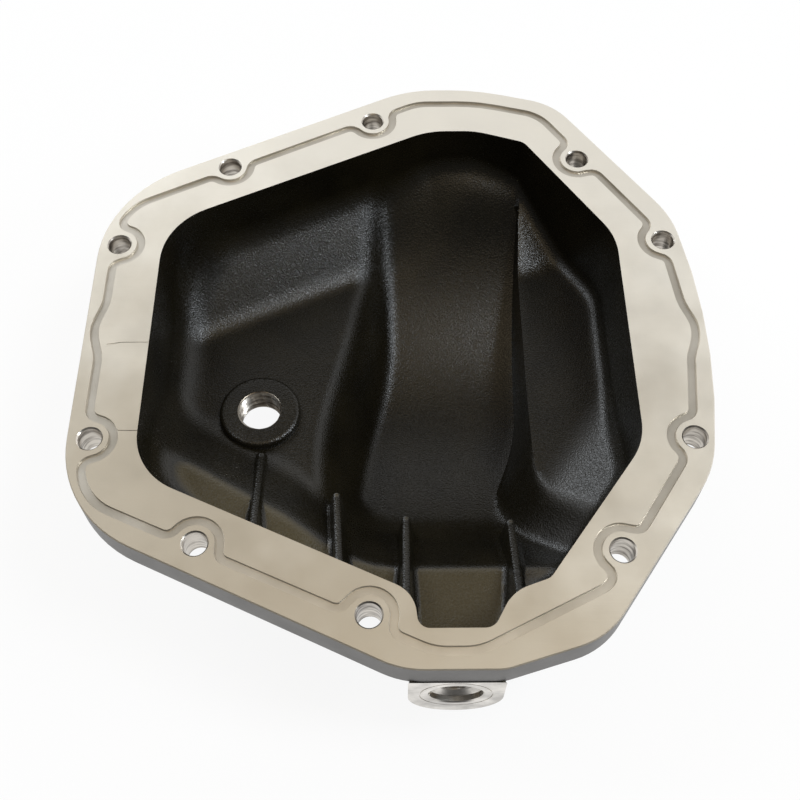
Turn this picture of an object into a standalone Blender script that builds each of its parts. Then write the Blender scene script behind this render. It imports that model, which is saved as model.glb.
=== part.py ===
"""A cast aluminium axle differential cover, lying on its back with the flange up.

The cover is one casting: a ten-bolt flange ring around a deep pan. The pan is the union
of a shallow left chamber with the fill boss, a round channel that clears the ring gear,
a right chamber, and a shelf along the lower edge that leads to the drain boss.
The shape is drawn with the flange face at height 0, and the finished part is lifted so
that the flat crown on its back stands at height 0.
"""
import math

import bmesh
import bpy
import numpy as np
from mathutils import Matrix, Vector
from mathutils.geometry import delaunay_2d_cdt

# Overall size of the flange. The outlines below are drawn at the drawn width and length.
FLANGE_WIDTH = 0.282
FLANGE_LENGTH = 0.310
DRAWN_WIDTH = 0.282
DRAWN_LENGTH = 0.310
FLANGE_THICKNESS = 0.016


def fitted(point):
    """Point (x, y, ...) of the drawing, stretched to the flange's width and length."""
    return (point[0] * FLANGE_WIDTH / DRAWN_WIDTH, point[1] * FLANGE_LENGTH / DRAWN_LENGTH, *point[2:])


# Flange ring: corners of the outer outline as (x, y, corner radius), counter-clockwise
FLANGE_OUTLINE = [
    (-0.1410, 0.0836, 0.061),
    (-0.1410, -0.0880, 0.056),
    (0.0015, -0.1546, 0.040),
    (0.0415, -0.1546, 0.022),
    (0.0820, -0.1423, 0.036),
    (0.1336, -0.0694, 0.051),
    (0.1463, 0.0000, 0.318),
    (0.1336, 0.0694, 0.051),
    (0.0820, 0.1444, 0.033),
    (0.0420, 0.1550, 0.110),
    (0.0070, 0.1550, 0.060),
]

# Opening in the flange, in the same form. The two notch corners lead to the drain.
OPENING_OUTLINE = [
    (-0.1112, 0.0654, 0.034),
    (-0.1112, -0.0687, 0.030),
    (0.0065, -0.1230, 0.014),
    (0.0083, -0.1379, 0.005),
    (0.0378, -0.1379, 0.006),
    (0.0458, -0.1230, 0.018),
    (0.0613, -0.1174, 0.006),
    (0.1059, -0.0561, 0.031),
    (0.1059, 0.0563, 0.033),
    (0.0655, 0.1175, 0.008),
    (0.0410, 0.1254, 0.040),
    (0.0170, 0.1254, 0.040),
]
NOTCH_CORNERS = (3, 4)
LOWER_RIGHT_WALL = (6, 7)
UPPER_LEFT_WALL = (11, 0)
UPPER_WALL = (10, 11)

# Bolt holes: one of each mirrored pair, with clearance for 3/8 in bolts
BOLT_PAIRS = [
    (-0.1312, 0.0528),
    (-0.0820, 0.1017),
    (-0.0111, 0.1324),
    (0.0913, 0.1058),
    (0.1279, 0.0538),
]
BOLT_HOLE_DIAMETER = 0.0103

# Seal groove: a ring that runs round the inside of each bolt and out at the two flanks
GROOVE_WIDTH = 0.0040
GROOVE_DEPTH = 0.0020
GROOVE_OUTLINE = [
    (-0.1330, 0.0739, 0.025),
    (-0.1330, -0.0804, 0.025),
    (0.0140, -0.1470, 0.025),
    (0.0320, -0.1470, 0.025),
    (0.0840, -0.1210, 0.014),
    (0.1270, -0.0565, 0.030),
    (0.1335, 0.0000, 0.150),
    (0.1270, 0.0565, 0.030),
    (0.0739, 0.1362, 0.020),
    (0.0420, 0.1445, 0.080),
    (0.0116, 0.1445, 0.025),
]
GROOVE_BOLT_RADIUS = 0.0102
GROOVE_BEND_RADIUS = 0.0050
GROOVE_FLANKS = [(-0.133, 0.004), (0.132, 0.002)]
GROOVE_FLANK_SWING = 0.018
GROOVE_FLANK_PUSH = 0.0035

# Pan walls: one thickness all over, with a small draft on the steep walls
WALL = 0.0055
DRAFT_RUN = 0.0016
WALL_FILLET = 0.007
LEFT_WALL_FILLET = 0.016
NOTCH_FILLET = 0.003
FLANGE_FILLET = 0.004
SOFT_BLEND = 0.005
FILLET_SHARE = 0.7

# Ring gear channel: a cylinder about the axle line between two side walls.
# The right wall is steep above and fans out below, where it leans over more and more.
RING_RADIUS = 0.133
RING_AXIS_HEIGHT = 0.045
CHANNEL_LEFT = -0.005
CHANNEL_LEFT_SHIFT = 0.015
CHANNEL_LEFT_SLOPE = 2.0
CHANNEL_SHOULDER = 0.014
CHANNEL_TURN = 0.048
CHANNEL_TURN_LENGTH = 0.100
CHANNEL_RIGHT = 0.0640
CHANNEL_RIGHT_LEAN = 0.06
CHANNEL_FAN_LEAN = 1.0
CHANNEL_FAN_START = 0.010
CHANNEL_FAN_LENGTH = 0.082
CHANNEL_BROW_SHIFT = 0.012
CHANNEL_BROW_TURN = -0.035
CHANNEL_BROW_LENGTH = 0.045

# Chambers beside the channel, with the slopes that rise to the walls
LEFT_DEPTH = 0.052
RIGHT_DEPTH = 0.050
UPPER_SLOPE_DEPTH = 0.024
UPPER_SLOPE = 0.84
FACET_START = (0.069, 0.072)
FACET_TURN = math.radians(23)
FACET_SLOPE = 0.50
LOWER_RIGHT_REACH = 0.031
LOWER_RIGHT_SLOPE = 0.55

# Shelf along the lower edge, and the slope that drops from its crest
SHELF_DEPTH = 0.040
SHELF_LEFT_DEPTH = 0.032
SHELF_RISE_LENGTH = 0.045
CREST_POINT = (0.0235, -0.0962)
CREST_LEFT_POINT = (-0.0950, -0.0480)
CREST_LEFT_SLOPE = -0.59
LOWER_SLOPE = 1.0
LOWER_SLOPE_LEFT = 0.62

# Ribs inside the lower wall: (x at the tip, x at the edge, y of the tip, depth of the tip)
RIBS = [
    (-0.0640, -0.0615, -0.034, 0.0475),
    (-0.0275, -0.0240, -0.058, 0.0420),
    (0.0042, 0.0037, -0.069, 0.0440),
    (0.0515, 0.0508, -0.071, 0.0440),
]
RIB_THICKNESS = 0.0036
RIB_DRAFT = 0.12
RIB_TOP_DEPTH = 0.0165

# Fill boss through the left chamber floor, threaded for 1/2 in pipe
FILL_CENTRE = (-0.0660, -0.0110)
FILL_BORE_DIAMETER = 0.0195
FILL_MOUTH_DIAMETER = 0.0212
FILL_BOSS_DIAMETER = 0.0394
FILL_BOSS_TOP_DEPTH = 0.048
FILL_BOSS_LENGTH = 0.0145
FILL_BOSS_EDGE = 0.0025
FILL_FACE_EDGE = 0.001

# Drain boss under the lower edge of the flange
DRAIN_X = 0.0235
DRAIN_DEPTH = 0.031
DRAIN_BORE_DIAMETER = 0.0165
DRAIN_MOUTH_DIAMETER = 0.0200
DRAIN_BOSS_WIDTH = 0.0380
DRAIN_BOSS_BOTTOM_DEPTH = 0.0530
DRAIN_FACE_PROUD = 0.0004
DRAIN_CORNER = 0.0005

# Flat crown on the back of the channel
CROWN_FLAT = 0.0014
CROWN_DEPTH = RING_RADIUS + WALL - RING_AXIS_HEIGHT - CROWN_FLAT

# Mesh spacing: along outlines, over floors, and the widest angle of one step on an arc
EDGE_SPACING = 0.0065
FLOOR_SPACING = 0.0085
GROOVE_SPACING = 0.0028
ARC_STEP = math.radians(15)
FILLET_ANGLES = (0, 30, 55, 90)
FLANGE_FILLET_ANGLES = (30, 60, 90)
HOLE_SEGMENTS = 32
RIB_STEPS = 9
SEARCH_STEP = 0.0005
LINE_CLEARANCE = 0.3
GRID_CLEARANCE = 0.55
NARROW_SHARE = 0.97
MERGE_DISTANCE = 1e-6
OVERLAP = 0.005
FACE_LIFT = 0.0004


def smooth_max(a, b, blend):
    """Higher of two heights, with the crease between them rounded over the blend."""
    share = np.maximum(blend - np.abs(a - b), 0.0) / blend
    return np.maximum(a, b) + share * share * blend / 4


def smooth_min(a, b, blend):
    return -smooth_max(-a, -b, blend)


def ease(t):
    """Rise from 0 to 1 with level ends."""
    t = np.clip(t, 0.0, 1.0)
    return t * t * (3 - 2 * t)


def rounded_polygon(corners):
    """Points of a closed outline from corners (x, y, radius), each arc no longer than its sides allow."""
    places = [Vector(corner[:2]) for corner in corners]
    count = len(places)
    sides = [places[(i + 1) % count] - places[i] for i in range(count)]
    turns = [sides[i - 1].angle(sides[i]) for i in range(count)]
    runs = [corner[2] * math.tan(turn / 2) for corner, turn in zip(corners, turns)]
    fits = [min(1.0, side.length / (runs[i] + runs[(i + 1) % count])) for i, side in enumerate(sides)]
    points = []
    for i, (place, turn) in enumerate(zip(places, turns)):
        fit = min(fits[i - 1], fits[i])
        back = -sides[i - 1].normalized()
        ahead = sides[i].normalized()
        start = place + back * runs[i] * fit
        centre = place + (back + ahead).normalized() * corners[i][2] * fit / math.cos(turn / 2)
        side = 1 if ahead.cross(back) > 0 else -1
        steps = max(1, math.ceil(turn / ARC_STEP))
        for k in range(steps + 1):
            swing = Matrix.Rotation(side * turn * k / steps, 2)
            points.append(centre + swing @ (start - centre))
    ring = np.array([tuple(p) for p in points])
    apart = np.linalg.norm(ring - np.roll(ring, 1, axis=0), axis=1) > MERGE_DISTANCE
    return ring[apart]


def spaced(loop, spacing):
    """The same closed outline, with its long straight runs divided."""
    points = []
    for start, end in zip(loop, np.roll(loop, -1, axis=0)):
        pieces = max(1, round(float(np.linalg.norm(end - start)) / spacing))
        points += [start + (end - start) * k / pieces for k in range(pieces)]
    return np.array(points)


def outline(corners):
    """Points of a closed outline of the drawing, stretched to the flange's size."""
    return rounded_polygon([fitted(corner) for corner in corners])


def outward_normals(loop):
    """Unit normals of a counter-clockwise loop, one for each of its points."""
    along = np.roll(loop, -1, axis=0) - np.roll(loop, 1, axis=0)
    along = along / np.linalg.norm(along, axis=1)[:, None]
    return np.stack([along[:, 1], -along[:, 0]], axis=1)


def depth_inside(points, loop):
    """Distance from each point to a closed loop, positive inside it."""
    start = loop[None, :, :]
    side = np.roll(loop, -1, axis=0)[None, :, :] - start
    reach = points[:, None, :] - start
    share = np.clip((reach * side).sum(2) / (side * side).sum(2), 0, 1)
    gap = np.linalg.norm(reach - side * share[:, :, None], axis=2).min(axis=1)
    above = reach[:, :, 1] < 0
    end_above = (reach - side)[:, :, 1] < 0
    crossing = side[:, :, 0] * reach[:, :, 1] - side[:, :, 1] * reach[:, :, 0]
    hits = (above != end_above) & ((crossing < 0) == (side[:, :, 1] > 0))
    return np.where(hits.sum(axis=1) % 2 == 1, gap, -gap)


def line_depth(x, y, start, end):
    """Distance to the left of the line that runs from start to end."""
    run = Vector(end[:2]) - Vector(start[:2])
    run.normalize()
    return run.x * (y - start[1]) - run.y * (x - start[0])


def crest_y(x):
    """Line of the shelf's crest: level below the channel, rising to the left."""
    start_x, start_y = fitted(CREST_LEFT_POINT)
    left = start_y + CREST_LEFT_SLOPE * (x - start_x)
    return smooth_max(left, fitted(CREST_POINT)[1] + 0 * x, 2 * SOFT_BLEND)


def channel_left(y):
    return CHANNEL_LEFT - CHANNEL_LEFT_SHIFT * ease((CHANNEL_TURN - y) / CHANNEL_TURN_LENGTH)


def channel_brow(y):
    """X of the channel's right wall where it meets the right chamber."""
    return CHANNEL_RIGHT + CHANNEL_BROW_SHIFT * ease((CHANNEL_BROW_TURN - y) / CHANNEL_BROW_LENGTH)


def channel_lean(y):
    """Run per height of the channel's right wall."""
    fan = np.maximum(CHANNEL_FAN_START - y, 0) / CHANNEL_FAN_LENGTH
    return CHANNEL_RIGHT_LEAN + CHANNEL_FAN_LEAN * fan * fan


def round_floor(y, t):
    """Height of the channel's round floor."""
    return RING_AXIS_HEIGHT - np.sqrt(np.maximum((RING_RADIUS + t) ** 2 - y * y, 0))


def sloped(depth, slope, rise, t):
    """Height of a plane that rises from a depth, moved out by t along its normal."""
    return -depth + slope * rise - t * math.hypot(1, slope)


def wall_depth(x, y, wall):
    """Distance from one straight wall of the opening."""
    return line_depth(x, y, fitted(OPENING_OUTLINE[wall[0]]), fitted(OPENING_OUTLINE[wall[1]]))


def left_chamber_floor(x, y, t):
    """Level floor with the slope that rises to the upper wall."""
    upper = np.minimum(wall_depth(x, y, UPPER_LEFT_WALL), wall_depth(x, y, UPPER_WALL))
    slope = sloped(UPPER_SLOPE_DEPTH, -UPPER_SLOPE, upper, t)
    return smooth_max(slope, -LEFT_DEPTH - t + 0 * x, SOFT_BLEND)


def right_chamber_floor(x, y, t):
    """Level floor between the upper facet and the slope to the lower right wall."""
    start_x, start_y = fitted(FACET_START)
    ahead = (y - start_y) * math.cos(FACET_TURN) - (x - start_x) * math.sin(FACET_TURN)
    facet = sloped(RIGHT_DEPTH, FACET_SLOPE, ahead, t)
    lower = LOWER_RIGHT_REACH - wall_depth(x, y, LOWER_RIGHT_WALL)
    slope = sloped(RIGHT_DEPTH, LOWER_RIGHT_SLOPE, lower, t)
    level = smooth_max(facet, -RIGHT_DEPTH - t + 0 * x, SOFT_BLEND / 2)
    return smooth_max(slope, level, SOFT_BLEND)


def channel_floor(x, y, t):
    """Round channel with its leaning left wall and its right wall."""
    rise = channel_left(y) - x
    left = round_floor(y, 0) + CHANNEL_LEFT_SLOPE * rise - t * math.hypot(1, CHANNEL_LEFT_SLOPE)
    lean = channel_lean(y)
    right = -RIGHT_DEPTH + (x - channel_brow(y) - t * np.hypot(1, lean)) / lean
    return smooth_max(smooth_max(round_floor(y, t), left, SOFT_BLEND), right, SOFT_BLEND)


def shelf_floor(x, y, t):
    """Shelf along the lower edge and the slope that falls from its crest."""
    left = ease((CHANNEL_LEFT - x) / SHELF_RISE_LENGTH)
    level = -SHELF_DEPTH + (SHELF_DEPTH - SHELF_LEFT_DEPTH) * left
    slope = LOWER_SLOPE + (LOWER_SLOPE_LEFT - LOWER_SLOPE) * left
    fall = level - slope * (y - crest_y(x)) - t * np.hypot(1, slope)
    return smooth_min(level - t, fall, SOFT_BLEND / 2)


def pan_floor(x, y, t=0.0):
    """Height of the pan's floor, moved out by t along its normals."""
    across = ease((x - CHANNEL_LEFT) / (CHANNEL_RIGHT - CHANNEL_LEFT))
    chambers = left_chamber_floor(x, y, t) * (1 - across) + right_chamber_floor(x, y, t) * across
    shoulder = CHANNEL_SHOULDER + (SOFT_BLEND - CHANNEL_SHOULDER) * across
    floor = smooth_min(chambers, channel_floor(x, y, t), shoulder)
    return smooth_max(floor, shelf_floor(x, y, t), SOFT_BLEND)


def wall_fillet(x, y):
    """Radius between the steep wall and the floor."""
    left_end = fitted(OPENING_OUTLINE[0])[0]
    left = ease((left_end + 2 * LEFT_WALL_FILLET - x) / LEFT_WALL_FILLET)
    radius = WALL_FILLET + (LEFT_WALL_FILLET - WALL_FILLET) * left
    notch = ease((fitted(OPENING_OUTLINE[2])[1] + WALL_FILLET - y) / WALL_FILLET)
    return radius + (NOTCH_FILLET - radius) * notch


def pan_height(x, y, depth, top, t=0.0):
    """Height of the whole pan at a point that lies depth inside the top of its wall."""
    floor = pan_floor(x, y, t)
    radius = np.minimum(wall_fillet(x, y) + t, FILLET_SHARE * (top - floor))
    reach = np.clip(DRAFT_RUN + radius - depth, 0, radius)
    filleted = floor + radius - np.sqrt(radius**2 - reach**2)
    wall = top + (floor + radius - top) * depth / DRAFT_RUN
    return np.where(depth < DRAFT_RUN, wall, filleted)


def ring_points(loop, depths):
    """Points at several depths inside a loop, left out where the loop is too narrow."""
    normals = outward_normals(loop)
    rings = []
    for depth in depths:
        ring = loop - normals * depth
        rings.append(ring[depth_inside(ring, loop) > depth * NARROW_SHARE])
    return np.concatenate(rings)


def feature_lines(loop, t):
    """Lines that the triangles keep to: the feet and brow of the channel's walls, and the crest."""
    low = loop.min(axis=0)
    high = loop.max(axis=0)
    ys = np.arange(low[1], high[1], FLOOR_SPACING)
    lean = channel_lean(ys)
    brow = channel_brow(ys) + t * (np.hypot(1, lean) - lean)
    height = np.minimum(RIGHT_DEPTH + round_floor(ys, 0), 0)
    foot = brow + lean * height
    sole = channel_left(ys) - t / 2
    xs = np.arange(low[0], high[0], FLOOR_SPACING)
    lines = [np.stack([x, ys], axis=1) for x in (foot, brow, sole)]
    return lines + [np.stack([xs, crest_y(xs)], axis=1)]


def thinned(points, kept, gap):
    """Points that stay clear of the kept ones."""
    far = [np.linalg.norm(kept - p, axis=1).min() > gap for p in points]
    return points[np.array(far, dtype=bool)]


def surface_body(name, loop, height, depths, lid, t):
    """Closed body with a computed lower surface inside a loop, and a flat lid."""
    fixed = np.concatenate([loop, ring_points(loop, depths)])
    for line in feature_lines(loop, t):
        line = line[depth_inside(line, loop) > depths[-1]]
        fixed = np.concatenate([fixed, thinned(line, fixed, LINE_CLEARANCE * FLOOR_SPACING)])
    low = loop.min(axis=0)
    high = loop.max(axis=0)
    grid = np.array([
        (x, y)
        for x in np.arange(low[0], high[0], FLOOR_SPACING)
        for y in np.arange(low[1], high[1], FLOOR_SPACING)
    ])
    grid = grid[depth_inside(grid, loop) > depths[-1]]
    points = np.concatenate([fixed, thinned(grid, fixed, GRID_CLEARANCE * FLOOR_SPACING)])
    edges = [(i, (i + 1) % len(loop)) for i in range(len(loop))]
    flat = delaunay_2d_cdt([Vector(p) for p in points], edges, [], 1, MERGE_DISTANCE)
    plan = np.array([tuple(p) for p in flat[0]])
    heights = height(plan[:, 0], plan[:, 1], np.maximum(depth_inside(plan, loop), 0))
    bm = bmesh.new()
    verts = [bm.verts.new((p[0], p[1], z)) for p, z in zip(plan, heights)]
    for face in flat[2]:
        bm.faces.new([verts[i] for i in face])
    rim = [edge for edge in bm.edges if edge.is_boundary]
    raised = bmesh.ops.extrude_edge_only(bm, edges=rim)["geom"]
    for item in raised:
        if isinstance(item, bmesh.types.BMVert):
            item.co.z = lid
    top = [item for item in raised if isinstance(item, bmesh.types.BMEdge)]
    bmesh.ops.holes_fill(bm, edges=[edge for edge in top if edge.is_boundary], sides=0)
    return finished(name, bm)


def finished(name, bm):
    """Object made from a closed bmesh."""
    bmesh.ops.recalc_face_normals(bm, faces=bm.faces)
    mesh = bpy.data.meshes.new(name)
    bm.to_mesh(mesh)
    bm.free()
    obj = bpy.data.objects.new(name, mesh)
    bpy.context.collection.objects.link(obj)
    return obj


def prism(bm, points, sweep):
    """Add a closed prism: a planar outline swept along a vector."""
    face = bm.faces.new([bm.verts.new(p) for p in points])
    moved = bmesh.ops.extrude_face_region(bm, geom=[face])["geom"]
    verts = [item for item in moved if isinstance(item, bmesh.types.BMVert)]
    bmesh.ops.translate(bm, vec=sweep, verts=verts)


def plate(name, loop, bottom, top):
    bm = bmesh.new()
    prism(bm, [(x, y, bottom) for x, y in loop], (0, 0, top - bottom))
    return finished(name, bm)


def turned(bm, start, axis, profile):
    """Add a round body: (distance along the axis, radius) pairs from one end to the other."""
    axis = Vector(axis).normalized()
    turn = axis.to_track_quat("Z", "X").to_matrix()
    rings = []
    for along, radius in profile:
        angles = [2 * math.pi * k / HOLE_SEGMENTS for k in range(HOLE_SEGMENTS)]
        ring = [turn @ Vector((radius * math.cos(a), radius * math.sin(a), along)) for a in angles]
        rings.append([bm.verts.new(Vector(start) + p) for p in ring])
    for low, high in zip(rings, rings[1:]):
        for k in range(HOLE_SEGMENTS):
            j = (k + 1) % HOLE_SEGMENTS
            bm.faces.new([low[k], low[j], high[j], high[k]])
    bm.faces.new(rings[0])
    bm.faces.new(rings[-1])


def combine(body, tool, operation, solver="EXACT"):
    """Boolean that joins the tool to the body or cuts it out."""
    modifier = body.modifiers.new(tool.name, "BOOLEAN")
    modifier.operation = operation
    modifier.solver = solver
    modifier.object = tool
    tool.hide_render = True
    tool.display_type = "WIRE"


def even_triangles(body):
    """Divide the flat faces into triangles that are as even as their corners allow."""
    modifier = body.modifiers.new("triangles", "TRIANGULATE")
    modifier.ngon_method = "BEAUTY"
    modifier.quad_method = "BEAUTY"


def flange():
    return plate("differential_cover", outline(FLANGE_OUTLINE), -FLANGE_THICKNESS, 0)


def fillet_depths(radius):
    """Depths at which rings of points follow the draft and a fillet."""
    steps = [1 - math.cos(math.radians(a)) for a in FILLET_ANGLES]
    return [DRAFT_RUN + radius * s for s in steps]


def core():
    """Inside of the pan, from its floor to above the flange face."""
    loop = spaced(outline(OPENING_OUTLINE), EDGE_SPACING)

    def height(x, y, depth):
        return pan_height(x, y, depth, FACE_LIFT)

    return surface_body("core", loop, height, fillet_depths(WALL_FILLET), OVERLAP, 0)


def shell():
    """Outside of the pan, from inside the flange down to the crown."""
    corners = [c for i, c in enumerate(OPENING_OUTLINE) if i not in NOTCH_CORNERS]
    inner = spaced(outline(corners), EDGE_SPACING)
    flare = WALL + FLANGE_FILLET
    loop = inner + outward_normals(inner) * flare
    underside = -FLANGE_THICKNESS
    wall_top = underside - FLANGE_FILLET

    def height(x, y, depth):
        pan = pan_height(x, y, np.maximum(depth - FLANGE_FILLET, 0), wall_top, WALL)
        bend = np.clip(depth, 0, FLANGE_FILLET)
        lift = np.sqrt(np.maximum(FLANGE_FILLET**2 - bend**2, 0))
        z = np.where(depth < FLANGE_FILLET, wall_top + lift, pan)
        return np.maximum(z, -CROWN_DEPTH)

    bends = [FLANGE_FILLET * math.sin(math.radians(a)) for a in FLANGE_FILLET_ANGLES]
    depths = bends + [FLANGE_FILLET + d for d in fillet_depths(WALL_FILLET + WALL)]
    return surface_body("shell", loop, height, depths, underside / 2, WALL)


def lower_edge_y(x, loop):
    """Y of the opening's lower edge at a given x."""
    ys = np.arange(loop[:, 1].min(), 0, SEARCH_STEP)
    inside = depth_inside(np.stack([0 * ys + x, ys], axis=1), loop)
    return float(ys[inside > 0].min())


def rib_bed(x, y, loop):
    """Height inside the floor at which a rib's foot lies."""
    return pan_height(x, y, depth_inside(np.stack([x, y], axis=1), loop), 0.0) - WALL / 2


def rib_rings(rib, loop):
    """Four-cornered sections of one rib, from its tip into the lower wall."""
    tip_x, edge_x, tip_y, tip_depth = rib
    tip_y = fitted((tip_x, tip_y))[1]
    edge_y = lower_edge_y(edge_x, loop) - WALL / 2
    share = np.linspace(0, 1, RIB_STEPS)
    xs = tip_x + (edge_x - tip_x) * share
    ys = tip_y + (edge_y - tip_y) * share
    crest = -tip_depth + (tip_depth - RIB_TOP_DEPTH) * share
    feet = ys.copy()
    feet[0] += RIB_DRAFT * (crest[0] - rib_bed(xs[:1], ys[:1], loop)[0])
    bed = rib_bed(xs, np.maximum(feet, edge_y + WALL / 2 + DRAFT_RUN), loop)
    half = np.full(RIB_STEPS, RIB_THICKNESS / 2)
    wide = half + RIB_DRAFT * (crest - bed)
    corners = [(xs - half, ys, crest), (xs - wide, feet, bed), (xs + wide, feet, bed), (xs + half, ys, crest)]
    return np.array(corners).transpose(2, 0, 1)


def ribs():
    """Ribs with drafted sides that stand on the floor, each up to the lower wall."""
    loop = outline(OPENING_OUTLINE)
    bm = bmesh.new()
    for rib in RIBS:
        rings = [[bm.verts.new(p) for p in ring] for ring in rib_rings(rib, loop)]
        for low, high in zip(rings, rings[1:]):
            for k in range(4):
                j = (k + 1) % 4
                bm.faces.new([low[k], low[j], high[j], high[k]])
        bm.faces.new(rings[0])
        bm.faces.new(rings[-1])
    return finished("ribs", bm)


def fill_boss():
    bm = bmesh.new()
    radius = FILL_BOSS_DIAMETER / 2
    bottom = (*FILL_CENTRE, -FILL_BOSS_TOP_DEPTH - FILL_BOSS_LENGTH)
    profile = [(0, radius - FILL_FACE_EDGE), (FILL_FACE_EDGE, radius)]
    for angle in FILLET_ANGLES:
        out = FILL_BOSS_EDGE * (1 - math.cos(math.radians(angle)))
        up = FILL_BOSS_EDGE * (1 - math.sin(math.radians(angle)))
        profile.append((FILL_BOSS_LENGTH - up, radius - out))
    turned(bm, bottom, (0, 0, 1), profile)
    return finished("fill_boss", bm)


def fill_bore():
    bm = bmesh.new()
    bore = FILL_BORE_DIAMETER / 2
    mouth = FILL_MOUTH_DIAMETER / 2
    low = (*FILL_CENTRE, -FILL_BOSS_TOP_DEPTH - FILL_BOSS_LENGTH - OVERLAP)
    profile = [
        (0, mouth),
        (OVERLAP, mouth),
        (OVERLAP + mouth - bore, bore),
        (OVERLAP + FILL_BOSS_LENGTH - mouth + bore, bore),
        (OVERLAP + FILL_BOSS_LENGTH, mouth),
        (2 * OVERLAP + FILL_BOSS_LENGTH, mouth),
    ]
    turned(bm, low, (0, 0, 1), profile)
    return finished("fill_bore", bm)


def drain_face_y():
    return fitted(FLANGE_OUTLINE[2])[1] - DRAIN_FACE_PROUD


def drain_boss():
    """Boss around the notch, with a flat front and a round bottom."""
    half = DRAIN_BOSS_WIDTH / 2
    middle = -FLANGE_THICKNESS / 2
    corners = [
        (DRAIN_X - half, middle, DRAIN_CORNER),
        (DRAIN_X - half, -DRAIN_BOSS_BOTTOM_DEPTH, half - DRAIN_CORNER),
        (DRAIN_X + half, -DRAIN_BOSS_BOTTOM_DEPTH, half - DRAIN_CORNER),
        (DRAIN_X + half, middle, DRAIN_CORNER),
    ]
    back = fitted(OPENING_OUTLINE[2])[1] + 2 * WALL
    front = drain_face_y()
    bm = bmesh.new()
    prism(bm, [(x, front, z) for x, z in rounded_polygon(corners)], (0, back - front, 0))
    return finished("drain_boss", bm)


def drain_bore():
    bm = bmesh.new()
    bore = DRAIN_BORE_DIAMETER / 2
    mouth = DRAIN_MOUTH_DIAMETER / 2
    front = drain_face_y()
    length = fitted(OPENING_OUTLINE[NOTCH_CORNERS[0]])[1] - front + OVERLAP
    profile = [
        (-OVERLAP, mouth),
        (0, mouth),
        (mouth - bore, bore),
        (length, bore),
    ]
    turned(bm, (DRAIN_X, front, -DRAIN_DEPTH), (0, 1, 0), profile)
    return finished("drain_bore", bm)


def bolt_centres():
    upper = [fitted(bolt) for bolt in BOLT_PAIRS]
    return [(x, side * y) for x, y in upper for side in (1, -1)]


def bolt_holes():
    bm = bmesh.new()
    radius = BOLT_HOLE_DIAMETER / 2
    for x, y in bolt_centres():
        low = (x, y, -FLANGE_THICKNESS - OVERLAP)
        turned(bm, low, (0, 0, 1), [(0, radius), (FLANGE_THICKNESS + 2 * OVERLAP, radius)])
    return finished("bolt_holes", bm)


def swing(along, reach):
    """Share of a side step at a distance along the path from its middle."""
    return 0.5 * (1 + math.cos(math.pi * min(abs(along) / reach, 1)))


def past_bolt(across, base):
    """Distance inside a bolt at which the groove runs: an arc round it, between two soft bends."""
    turn = GROOVE_BOLT_RADIUS + GROOVE_BEND_RADIUS
    if base + GROOVE_BEND_RADIUS >= turn:
        return base
    end = math.sqrt(turn**2 - (base + GROOVE_BEND_RADIUS) ** 2)
    if abs(across) >= end:
        return base
    if abs(across) < end * GROOVE_BOLT_RADIUS / turn:
        return math.sqrt(GROOVE_BOLT_RADIUS**2 - across**2)
    return base + GROOVE_BEND_RADIUS - math.sqrt(GROOVE_BEND_RADIUS**2 - (end - abs(across)) ** 2)


def groove_path():
    """Centreline of the seal groove."""
    base = spaced(outline(GROOVE_OUTLINE), GROOVE_SPACING)
    normals = outward_normals(base)
    path = []
    for point, normal in zip(base, normals):
        push = 0.0
        for bolt in bolt_centres():
            offset = np.array(bolt) - point
            across = normal[0] * offset[1] - normal[1] * offset[0]
            inside = float(offset @ normal)
            if abs(inside) < GROOVE_BOLT_RADIUS:
                push -= past_bolt(across, inside) - inside
        for flank in GROOVE_FLANKS:
            reach = float(np.linalg.norm(np.array(fitted(flank)) - point))
            push += GROOVE_FLANK_PUSH * swing(reach, GROOVE_FLANK_SWING)
        path.append(point + normal * push)
    return np.array(path)


def groove():
    """Cutter for the seal groove: a square bar that follows its path."""
    path = groove_path()
    normals = outward_normals(path)
    outer = path + normals * GROOVE_WIDTH / 2
    inner = path - normals * GROOVE_WIDTH / 2
    bm = bmesh.new()
    rings = []
    for loop, z in ((outer, -GROOVE_DEPTH), (outer, OVERLAP), (inner, OVERLAP), (inner, -GROOVE_DEPTH)):
        rings.append([bm.verts.new((x, y, z)) for x, y in loop])
    for low, high in zip(rings, rings[1:] + rings[:1]):
        for k in range(len(path)):
            j = (k + 1) % len(path)
            bm.faces.new([low[k], low[j], high[j], high[k]])
    return finished("groove", bm)


def cast_metal(obj):
    material = bpy.data.materials.new("cast_aluminium")
    material.use_nodes = True
    surface = material.node_tree.nodes["Principled BSDF"]
    surface.inputs["Base Color"].default_value = (0.56, 0.54, 0.50, 1)
    surface.inputs["Metallic"].default_value = 0.9
    surface.inputs["Roughness"].default_value = 0.42
    obj.data.materials.append(material)


def build():
    for obj in list(bpy.data.objects):
        bpy.data.objects.remove(obj, do_unlink=True)
    cover = flange()
    combine(cover, shell(), "UNION")
    combine(cover, drain_boss(), "UNION")
    combine(cover, core(), "DIFFERENCE")
    combine(cover, ribs(), "UNION", "MANIFOLD")
    combine(cover, fill_boss(), "UNION")
    combine(cover, fill_bore(), "DIFFERENCE")
    combine(cover, drain_bore(), "DIFFERENCE")
    combine(cover, bolt_holes(), "DIFFERENCE")
    combine(cover, groove(), "DIFFERENCE", "MANIFOLD")
    even_triangles(cover)
    cast_metal(cover)
    for obj in bpy.data.objects:
        obj.location.z = CROWN_DEPTH


build()
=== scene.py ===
"""Looks of a cast differential cover: machined flange and bosses on a black-coated pan.

Heights are written below the flange face, as on a drawing, and lifted to the frame's
height when the piece is done. All lengths are in metres.
"""
import math

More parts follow.
